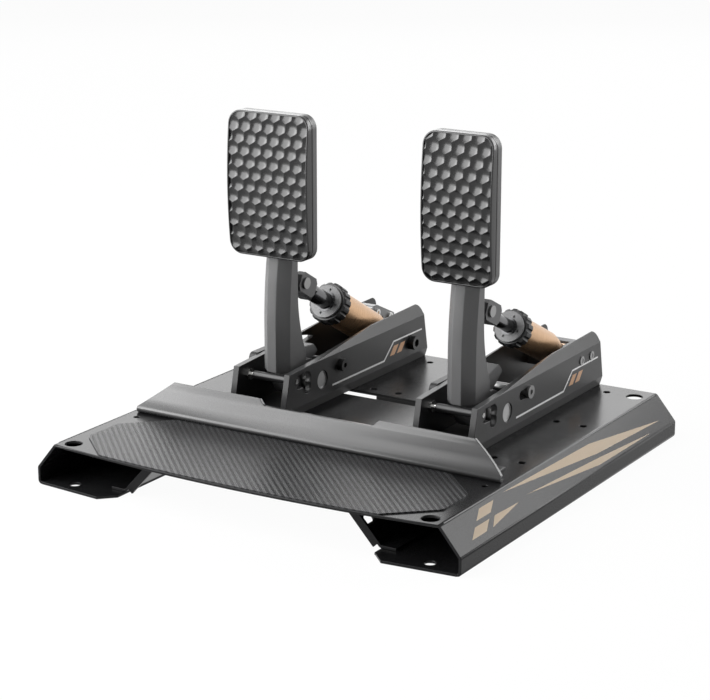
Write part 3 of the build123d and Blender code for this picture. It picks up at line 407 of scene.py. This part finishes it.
class Workshop:
    """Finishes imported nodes, and turns meshes into finished pieces."""

    weld_mm: float = 0.002
    flat_deg: float = 0.5
    sharp_deg: float = 40.0

    def __init__(self) -> None:
        """Make every finish once."""
        effects = Effects()
        self.materials = {finish.name: finish.build(effects) for finish in FINISHES}
        self.bare = set(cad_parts)

    def soften(self, node: bpy.types.Object, width: float) -> None:
        """Break a node's sharp edges, as its coating or a light deburring does.

        Args:
            node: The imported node.
            width: The broken edge's width in millimetres.
        """
        weld = node.modifiers.new("weld", "WELD")
        weld.merge_threshold = self.weld_mm * MM
        flat = node.modifiers.new("flat", "DECIMATE")
        flat.decimate_type, flat.angle_limit = "DISSOLVE", math.radians(self.flat_deg)
        edge = node.modifiers.new("edge", "BEVEL")
        edge.width, edge.segments, edge.limit_method = width * MM, 2, "ANGLE"
        edge.angle_limit = math.radians(self.sharp_deg)
        edge.use_clamp_overlap, edge.harden_normals = False, True

    def dress(self, prefix: str, finishes: dict[str, str], edge: float = 0.0) -> None:
        """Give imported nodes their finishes.

        Args:
            prefix: What the nodes' names begin with.
            finishes: The finish of each node, by the rest of its name.
            edge: The width in millimetres to which their sharp edges are broken, if at all.
        """
        for short, finish in finishes.items():
            name = prefix + short
            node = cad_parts[name]
            node.data.materials.clear()
            node.data.materials.append(self.materials[finish])
            if edge:
                self.soften(node, edge)
            self.bare.discard(name)
            LOG.info("%s is finished in %s", name, finish)

    def piece(self, name: str, mesh: bmesh.types.BMesh, finish: str, body: Body) -> bpy.types.Object:
        """Turn a mesh into a finished piece that rides on a body.

        Args:
            name: The piece's name.
            mesh: Its mesh, in metres, in place. It is freed.
            finish: The finish's name.
            body: What it rides on.

        Returns:
            The new object.
        """
        smooth_deg = 30.0
        data = bpy.data.meshes.new(name)
        bmesh.ops.recalc_face_normals(mesh, faces=mesh.faces)
        mesh.to_mesh(data)
        mesh.free()
        data.materials.append(self.materials[finish])
        for polygon in data.polygons:
            polygon.use_smooth = True
        data.set_sharp_from_angle(angle=math.radians(smooth_deg))
        made = bpy.data.objects.new(name, data)
        bpy.context.scene.collection.objects.link(made)
        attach(made, body.value)
        LOG.info("%s rides on %s with %d faces", name, body.value, len(data.polygons))
        return made

    def paint(
        self, name: str, shapes: Sequence[Sequence[Vector]], normal: Vector, finish: str
    ) -> None:
        """Paint flat shapes on the base or on what is bolted to it.

        Args:
            name: The piece's name.
            shapes: The corners of each shape, in metres.
            normal: The way that the painted surface faces.
            finish: The paint's name.
        """
        thickness = 0.06
        lift = normal * thickness * MM
        mesh = bmesh.new()
        for shape in shapes:
            low = [mesh.verts.new(corner) for corner in shape]
            high = [mesh.verts.new(corner + lift) for corner in shape]
            mesh.faces.new(high)
            mesh.faces.new(low[::-1])
            for index in range(len(shape)):
                after = (index + 1) % len(shape)
                mesh.faces.new((low[index], low[after], high[after], high[index]))
        self.piece(name, mesh, finish, Body.BASE)


@dataclass
class Base:
    """Folded plate with its braces, mat, heel rest and electronics box, in millimetres.

    The small pieces that both brackets share are finished here too. A mark on a slope has corners
    of y and of the share of the way down the slope.
    """

    plate_edge: float = 0.45
    sheet_edge: float = 0.35
    crease_x: float = 175.35
    crease_z: float = 36.3
    side_x: float = 193.5
    side_z: float = 14.5
    # The next three numbers place a dark strip along each upper crease: painted shade where the sheet bends
    # away from the light.
    crease_shade_start: float = 6.0
    crease_shade_end: float = 372.0
    crease_shade_share: float = 0.03
    marks: tuple[tuple[tuple[float, float], ...], ...] = (
        ((92, 0.12), (236, 0.22), (354, 0.72), (240, 0.58)),
        ((118, 0.50), (238, 0.70), (330, 0.90), (232, 0.88)),
        ((54, 0.16), (76, 0.16), (64, 0.40), (42, 0.40)),
        ((36, 0.52), (58, 0.52), (46, 0.76), (24, 0.76)),
        ((66, 0.52), (104, 0.56), (56, 0.76)),
    )

    def dress(self, workshop: Workshop) -> None:
        """Finish the base's nodes.

        Args:
            workshop: Where finishes come from.
        """
        workshop.dress("", {"base_plate": "plate_coat"}, self.plate_edge)
        workshop.dress("", {
            "left_foot_brace": "plate_coat", "right_foot_brace": "plate_coat", "heel_rest": "heel_coat",
        }, self.sheet_edge)
        workshop.dress("", {
            "foot_mat": "twill_mat", "heel_rest_screws": "black_screw", "control_box": "black_plastic",
            "bracket_screws": "black_screw", "pivot_caps": "cap_steel", "stop_guides": "black_plastic",
        })

    def slope_point(self, side: int, along: float, down: float) -> Vector:
        """A point on the slope.

        Args:
            side: 1 for the right slope and -1 for the left.
            along: Millimetres from the front corners to the rear.
            down: Share of the way from the upper crease to the lower one.

        Returns:
            The point in metres.
        """
        x = self.crease_x + (self.side_x - self.crease_x) * down
        z = self.crease_z + (self.side_z - self.crease_z) * down
        return point(side * x, along, z)

    def paint(self, workshop: Workshop) -> None:
        """Paint the marks on both slopes, and a dark strip along each upper crease that is painted shade.

        Args:
            workshop: Where finishes come from.
        """
        # This strip is painted shade along the crease, not a mark that the plate carries.
        crease_shade = ((self.crease_shade_start, 0.0), (self.crease_shade_end, 0.0),
                (self.crease_shade_end, self.crease_shade_share), (self.crease_shade_start, self.crease_shade_share))
        run = Vector((self.side_x - self.crease_x, 0.0, self.side_z - self.crease_z)).normalized()
        for side, name in ((1, "right"), (-1, "left")):
            normal = Vector((-run.z * side, 0.0, run.x))
            for part, shapes, finish in (
                ("slope_paint", self.marks, "tan_paint"), ("crease_shade_line", (crease_shade,), "ring_black"),
            ):
                placed = [[self.slope_point(side, y, down) for y, down in shape] for shape in shapes]
                workshop.paint(f"{name}_{part}", placed, normal, finish)


@dataclass
class Bracket:
    """One pedal's two walls and what is bolted between them, in millimetres.

    face_x is the outer face of the right wall, and a mark on it has corners of y and z.
    """

    name: str
    face_x: float
    stop_bolt: str
    rear: dict[str, str]
    wall_edge: float = 0.35
    line: tuple[tuple[float, float], ...] = (
        (215, 49.2), (300.6, 49.2), (316.8, 63.4), (366, 63.4),
        (366, 64.8), (316.2, 64.8), (299.8, 50.8), (215, 50.8),
    )
    bar: tuple[tuple[float, float], ...] = ((0, 52), (8, 52), (15, 60), (7, 60))
    bar_starts: tuple[float, ...] = (310.0, 322.0)

    def dress(self, workshop: Workshop) -> None:
        """Finish the bracket's nodes.

        Args:
            workshop: Where finishes come from.
        """
        prefix = f"{self.name}_"
        workshop.dress(prefix, {"left_wall": "wall_coat", "right_wall": "wall_coat"}, self.wall_edge)
        workshop.dress(prefix, {
            "bracket_floor": "wall_coat", "pivot_shaft": "satin_steel", "sensor_housing": "black_plastic",
            "stop_rod": "bright_steel", "stop_sleeve": "black_screw", "stop_nuts": "bright_steel",
            "end_stop_bolt": self.stop_bolt, **self.rear,
        })

    def paint(self, workshop: Workshop) -> None:
        """Paint the line and the two slanted bars on the right wall.

        Args:
            workshop: Where finishes come from.
        """
        bars = [[(start + y, z) for y, z in self.bar] for start in self.bar_starts]
        for part, shapes, finish in (("line", [self.line], "grey_paint"), ("bars", bars, "copper_paint")):
            placed = [[point(self.face_x, y, z) for y, z in shape] for shape in shapes]
            workshop.paint(f"{self.name}_wall_{part}", placed, Vector((1.0, 0.0, 0.0)), finish)


@dataclass
class Damper:
    """One pedal's damper: fork, rod, barrel and knurled ring."""

    name: str

    def dress(self, workshop: Workshop) -> None:
        """Finish the damper's nodes.

        Args:
            workshop: Where finishes come from.
        """
        workshop.dress(f"{self.name}_", {
            "clevis": "fork_grey", "lock_nut": "fork_grey", "rod": "polished_rod",
            "barrel": "copper_barrel", "end_cap": "cast_cap", "wiper_ring": "dark_steel",
            "preload_ring": "ring_black",
        })


@dataclass
class Arm:
    """One pedal's arm with its bushes, its pad's backing and its screws, in millimetres."""

    name: str
    arm_edge: float = 0.45

    def dress(self, workshop: Workshop) -> None:
        """Finish the arm's nodes.

        Args:
            workshop: Where finishes come from.
        """
        workshop.dress(f"{self.name}_", {"arm": "arm_satin"}, self.arm_edge)
        workshop.dress(f"{self.name}_", {
            "hub_bushes": "satin_steel", "pad_tread": "tread_rubber", "pad_backing": "backing_coat",
            "pad_screws": "black_screw", "clevis_pin": "satin_steel",
        })


@dataclass
class PadTread:
    """Crowned tread whose face is a field of six-sided bowls inside a rounded rim, in millimetres."""

    name: str
    body: Body
    corner: float = 11.0
    corner_steps: int = 8
    side_steps: int = 16
    curve: float = 448.0
    pitch: float = 11.26
    bowl_depth: float = 1.7
    rings: int = 5
    rim: float = 1.35
    rim_top: float = 0.2
    rim_drop: float = 0.03
    lip_drop: float = 0.25
    rounding: float = 0.9
    rounding_steps: int = 5
    seam_back: float = 4.2
    seam_width: float = 0.7
    seam_depth: float = 0.5
    lap: float = 0.1

    def __post_init__(self) -> None:
        """Read the tread's place and size from the frame."""
        self.node = f"{self.name}_pad_tread"
        low, high = (Vector(corner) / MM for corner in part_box(self.node))
        self.middle = (low + high) / 2
        self.half_width, self.half_height = (high.x - low.x) / 2, (high.z - low.z) / 2
        self.front, self.back = low.y, high.y

    def crown(self, up: float) -> float:
        """How far the face curves back at a height above the middle."""
        return self.curve - math.sqrt(self.curve ** 2 - up ** 2)

    def place(self, across: float, up: float, y: float) -> Vector:
        """A point in metres from its distances across and up from the middle and its y."""
        return Vector((self.middle.x + across, y, self.middle.z + up)) * MM

    def outline(self, inset: float) -> list[tuple[float, float]]:
        """The rounded outline, moved inwards.

        Args:
            inset: How far it is moved.

        Returns:
            Points as distances across and up from the middle.
        """
        radius = self.corner - inset
        reach_x, reach_z = self.half_width - self.corner, self.half_height - self.corner
        points = []
        for quarter, (side, end) in enumerate(((1, 1), (-1, 1), (-1, -1), (1, -1))):
            for step in range(self.corner_steps + 1):
                angle = math.radians(90 * (quarter + step / self.corner_steps))
                across, up = radius * math.cos(angle), radius * math.sin(angle)
                points.append((side * reach_x + across, end * reach_z + up))
            if quarter % 2:
                drops = (1 - 2 * step / self.side_steps for step in range(1, self.side_steps))
                points += [(side * (reach_x + radius), end * reach_z * drop) for drop in drops]
        return points

    def stations(self) -> list[tuple[float, float, bool]]:
        """The rim's section.

        Returns:
            Each corner's inset, its y and whether that is counted from the crowned face.
        """
        front = [(self.rim, self.lip_drop, True), (self.rim - self.rim_top, self.rim_drop, True)]
        for step in range(self.rounding_steps + 1):
            angle = math.radians(90 / self.rounding_steps * step)
            inset, drop = self.rounding * (1 - math.sin(angle)), self.rounding * (1 - math.cos(angle))
            front.append((inset, drop, True))
        seam = self.front + self.seam_back + self.crown(self.half_height)
        groove = [
            (0.0, seam), (self.seam_depth, seam + self.lap), (self.seam_depth, seam + self.seam_width),
            (0.0, seam + self.seam_width + self.lap), (0.0, self.back),
        ]
        return [(self.rim, self.back, False), *front, *((inset, y, False) for inset, y in groove)]

    def rim_ring(self, mesh: bmesh.types.BMesh) -> None:
        """Add the rim and the tread's side, with its seam, as one closed ring.

        Args:
            mesh: The mesh that is added to.
        """
        loops = []
        for inset, y, crowned in self.stations():
            loop = []
            for across, up in self.outline(inset):
                base = self.front + self.crown(up) if crowned else 0.0
                loop.append(mesh.verts.new(self.place(across, up, base + y)))
            loops.append(loop)
        count = len(loops[0])
        for one, two in zip(loops, loops[1:] + loops[:1]):
            for index in range(count):
                after = (index + 1) % count
                mesh.faces.new((one[index], one[after], two[after], two[index]))

    def bowl_vertex(
        self, mesh: bmesh.types.BMesh, centre: tuple[float, float], offset: Vector
    ) -> bmesh.types.BMVert:
        """Add one point of a bowl.

        Args:
            mesh: The mesh that is added to.
            centre: The bowl's centre across and up.
            offset: The point's place from the centre.

        Returns:
            The vertex. Its third coordinate is its depth.
        """
        share = offset.length / (self.pitch / math.sqrt(3))
        depth = self.bowl_depth * max(0.0, 1 - share ** 2)
        return mesh.verts.new((centre[0] + offset.x, centre[1] + offset.y, depth))

    def bowl(self, mesh: bmesh.types.BMesh, centre: tuple[float, float]) -> None:
        """Add one six-sided bowl as a flat fan whose third coordinate is its depth.

        Args:
            mesh: The mesh that is added to.
            centre: The bowl's centre across and up.
        """
        radius = self.pitch / math.sqrt(3)
        angles = [math.radians(60 * k) for k in range(6)]
        tips = [Vector((math.sin(angle), math.cos(angle))) * radius for angle in angles]
        for one, two in zip(tips, tips[1:] + tips[:1]):
            rows = []
            for ring in range(self.rings + 1):
                share = ring / self.rings
                steps = [k / ring if ring else 0 for k in range(ring + 1)]
                offsets = [one * share + (two - one) * share * step for step in steps]
                rows.append([self.bowl_vertex(mesh, centre, offset) for offset in offsets])
            for inner, outer in zip(rows, rows[1:]):
                for k in range(len(outer) - 1):
                    mesh.faces.new((inner[k], outer[k + 1], outer[k]))
                    if k + 1 < len(inner):
                        mesh.faces.new((inner[k], inner[k + 1], outer[k + 1]))

    def trim(self, mesh: bmesh.types.BMesh) -> None:
        """Cut the flat field of bowls off just under the rim.

        Args:
            mesh: The field.
        """
        shortest = 0.01
        edge = self.outline(self.rim - self.lap)
        for (x, z), (after_x, after_z) in zip(edge, edge[1:] + edge[:1]):
            normal = Vector((after_z - z, x - after_x, 0.0))
            if normal.length > shortest:
                geometry = mesh.verts[:] + mesh.edges[:] + mesh.faces[:]
                bmesh.ops.bisect_plane(
                    mesh, geom=geometry, plane_co=(x, z, 0.0), plane_no=normal, clear_outer=True
                )

    def copy(self, flat: bmesh.types.BMesh, mesh: bmesh.types.BMesh) -> None:
        """Copy the field into the tread, in an order that is the same on every run.

        Args:
            flat: The field, whose own order can change from run to run.
            mesh: The mesh that is added to.
        """
        ordered = sorted(flat.verts, key=lambda vertex: tuple(vertex.co))
        ranks = {vertex: rank for rank, vertex in enumerate(ordered)}
        points = [mesh.verts.new(self.place(v.co.x, v.co.y, self.front + v.co.z)) for v in ordered]
        loops = []
        for face in flat.faces:
            loop = [ranks[vertex] for vertex in face.verts]
            first = loop.index(min(loop))
            loops.append(loop[first:] + loop[:first])
        for loop in sorted(loops):
            mesh.faces.new([points[rank] for rank in loop])

    def bowls(self, mesh: bmesh.types.BMesh) -> None:
        """Add the field of bowls, closed at the back.

        Args:
            mesh: The mesh that is added to.
        """
        merge = 0.001
        flat = bmesh.new()
        row_pitch = self.pitch * math.sqrt(3) / 2
        rows, columns = int(self.half_height / row_pitch) + 1, int(self.half_width / self.pitch) + 1
        for row in range(-rows, rows + 1):
            shift = self.pitch / 2 * (1 - row % 2)
            for column in range(-columns - 1, columns + 1):
                self.bowl(flat, (column * self.pitch + shift, row * row_pitch))
        bmesh.ops.remove_doubles(flat, verts=flat.verts, dist=merge)
        self.trim(flat)
        border = [edge for edge in flat.edges if edge.is_boundary]
        made = bmesh.ops.extrude_edge_only(flat, edges=border)["geom"]
        for vertex in flat.verts:
            vertex.co.z += self.crown(vertex.co.y)
        for item in made:
            if isinstance(item, bmesh.types.BMVert):
                item.co.z = self.back - self.front - self.lap
        bmesh.ops.edgeloop_fill(flat, edges=[item for item in made if isinstance(item, bmesh.types.BMEdge)])
        bmesh.ops.recalc_face_normals(flat, faces=flat.faces)
        self.copy(flat, mesh)
        flat.free()

    def build(self, workshop: Workshop) -> None:
        """Make the tread and let it stand for its node.

        Args:
            workshop: Where finishes come from.
        """
        mesh = bmesh.new()
        self.rim_ring(mesh)
        self.bowls(mesh)
        made = workshop.piece(f"{self.name}_tread", mesh, "tread_rubber", self.body)
        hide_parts(self.node)


@dataclass(frozen=True)
class Lamp:
    """Soft rectangular lamp that faces the middle of the pedal set, in metres.

    Its radiance is how bright its face is, where 1 is the white of the background.
    """

    name: str
    toward: tuple[float, float, float]
    away: float
    width: float
    height: float
    radiance: float

    def hang(self) -> None:
        """Add the lamp to the scene."""
        data = bpy.data.lights.new(self.name, "AREA")
        data.shape = "RECTANGLE"
        data.size, data.size_y = self.width, self.height
        data.energy = self.radiance * math.pi * self.width * self.height
        made = bpy.data.objects.new(self.name, data)
        aim, run = Vector((0.0, 0.0, 0.1)), Vector(self.toward).normalized()
        made.location = aim + run * self.away
        made.rotation_mode = "QUATERNION"
        made.rotation_quaternion = (-run).to_track_quat("-Z", "Y")
        made.visible_camera = False
        bpy.context.scene.collection.objects.link(made)
        LOG.info("%s lamp is hung", self.name)


@dataclass
class Studio:
    """Floor, lamps and camera. The camera stands where the photograph was taken from."""

    camera_x: float = 879.508
    camera_y: float = -1257.810
    camera_z: float = 573.393
    turn_deg: float = 31.627
    tilt_deg: float = 15.797
    focal_px: float = 2153.59
    picture_px: float = 710.0
    sensor: float = 36.0
    floor_half: float = 14.0
    floor_drop: float = 0.0002
    floor_grey: float = 0.86
    shadow_share: float = 0.04
    room_light: float = 0.08
    lamps: tuple[Lamp, ...] = (
        Lamp("left", (-0.945, -0.13, 0.30), 2.5, 1.9, 1.5, 4.0),
        Lamp("front_left", (-0.66, -0.70, 0.36), 1.25, 1.3, 1.0, 6.2),
        Lamp("high_left", (-0.52, -0.30, 0.80), 2.5, 1.5, 1.1, 5.0),
        Lamp("right", (0.76, 0.63, 0.20), 2.6, 1.2, 1.0, 8.0),
        Lamp("rear_left", (-0.48, 0.82, 0.30), 2.8, 2.0, 1.0, 2.3),
        Lamp("rear_right", (0.36, 0.82, 0.44), 2.6, 1.7, 0.9, 5.8),
    )

    def camera(self) -> None:
        """Place the camera."""
        data = bpy.data.cameras.new("camera")
        data.sensor_width = self.sensor
        data.lens = self.focal_px / self.picture_px * self.sensor
        made = bpy.data.objects.new("camera", data)
        turn, tilt = math.radians(self.turn_deg), math.radians(self.tilt_deg)
        level = math.cos(tilt)
        ahead = Vector((-math.sin(turn) * level, math.cos(turn) * level, -math.sin(tilt)))
        right = Vector((math.cos(turn), math.sin(turn), 0.0))
        above = right.cross(ahead)
        facing = Matrix((right, above, -ahead)).transposed().to_4x4()
        stand = Matrix.Translation(point(self.camera_x, self.camera_y, self.camera_z))
        made.matrix_world = stand @ facing
        data.clip_start, data.clip_end = 0.05, 100.0
        bpy.context.scene.collection.objects.link(made)
        bpy.context.scene.camera = made

    def seen(self, graph: Graph) -> bpy.types.NodeSocket:
        """Tell rays that show a surface from rays that light one.

        Args:
            graph: The material's or world's graph.

        Returns:
            A socket that is 1 for camera, glossy and transmission rays.
        """
        ray = graph.add("LightPath").outputs
        shown = graph.maths("MAXIMUM", ray["Is Camera Ray"], ray["Is Glossy Ray"])
        return graph.maths("MAXIMUM", shown, ray["Is Transmission Ray"])

    def floor(self) -> None:
        """Lay a wide pale floor that keeps the object's shadow."""
        mesh = bmesh.new()
        bmesh.ops.create_grid(mesh, x_segments=1, y_segments=1, size=self.floor_half)
        data = bpy.data.meshes.new("floor")
        mesh.to_mesh(data)
        mesh.free()
        made = bpy.data.objects.new("floor", data)
        made.location.z = -self.floor_drop
        bpy.context.scene.collection.objects.link(made)
        material = bpy.data.materials.new("pale_floor")
        material.use_nodes = True
        graph = Graph(material.node_tree)
        shader = material.node_tree.nodes["Principled BSDF"]
        shader.inputs["Base Color"].default_value = (*(self.floor_grey,) * 3, 1.0)
        shader.inputs["Roughness"].default_value = 0.9
        shader.inputs["Specular IOR Level"].default_value = 0.1
        glow = graph.add("Emission", {"Color": WHITE, "Strength": 1.0})
        share = graph.maths("MULTIPLY", self.seen(graph), 1.0 - self.shadow_share)
        mixed = graph.add("MixShader", {0: share, 1: shader.outputs[0], 2: glow.outputs[0]})
        out = material.node_tree.nodes["Material Output"]
        material.node_tree.links.new(mixed.outputs[0], out.inputs[0])
        data.materials.append(material)

    def room(self) -> None:
        """Fill the room with an even light, and show it white."""
        world = bpy.data.worlds.new("room")
        world.use_nodes = True
        graph = Graph(world.node_tree)
        back = world.node_tree.nodes["Background"]
        back.inputs[0].default_value = WHITE
        strength = graph.ranged(self.seen(graph), 0.0, 1.0, self.room_light, 1.0)
        world.node_tree.links.new(strength, back.inputs[1])
        bpy.context.scene.world = world

    def build(self) -> None:
        """Set up the whole studio."""
        self.camera()
        self.floor()
        self.room()
        for lamp in self.lamps:
            lamp.hang()
        bpy.context.scene.view_settings.view_transform = "Standard"


def main() -> None:
    """Build the looks of every sub-assembly, then the studio."""
    logging.basicConfig(level=logging.INFO, format="%(message)s")
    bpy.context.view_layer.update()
    workshop = Workshop()
    base = Base()
    base.dress(workshop)
    cell = {"load_cell": "cell_alloy", "load_cell_screws": "bright_steel", "rear_bolt": "black_screw"}
    block = {"rear_block": "fork_grey", "rear_screws": "satin_steel", "rear_pin": "bright_steel"}
    brackets = (
        Bracket("brake", face_x=-50.0, stop_bolt="black_screw", rear=cell),
        Bracket("throttle", face_x=124.5, stop_bolt="satin_steel", rear=block),
    )
    for bracket in brackets:
        bracket.dress(workshop)
        Damper(bracket.name).dress(workshop)
        Arm(bracket.name).dress(workshop)
    PadTread("brake", Body.BRAKE_PEDAL).build(workshop)
    PadTread("throttle", Body.THROTTLE_PEDAL).build(workshop)
    base.paint(workshop)
    for bracket in brackets:
        bracket.paint(workshop)
    if workshop.bare:
        raise ValueError(f"nodes without a finish: {sorted(workshop.bare)}")
    Studio().build()


if __name__ == "__main__":
    main()
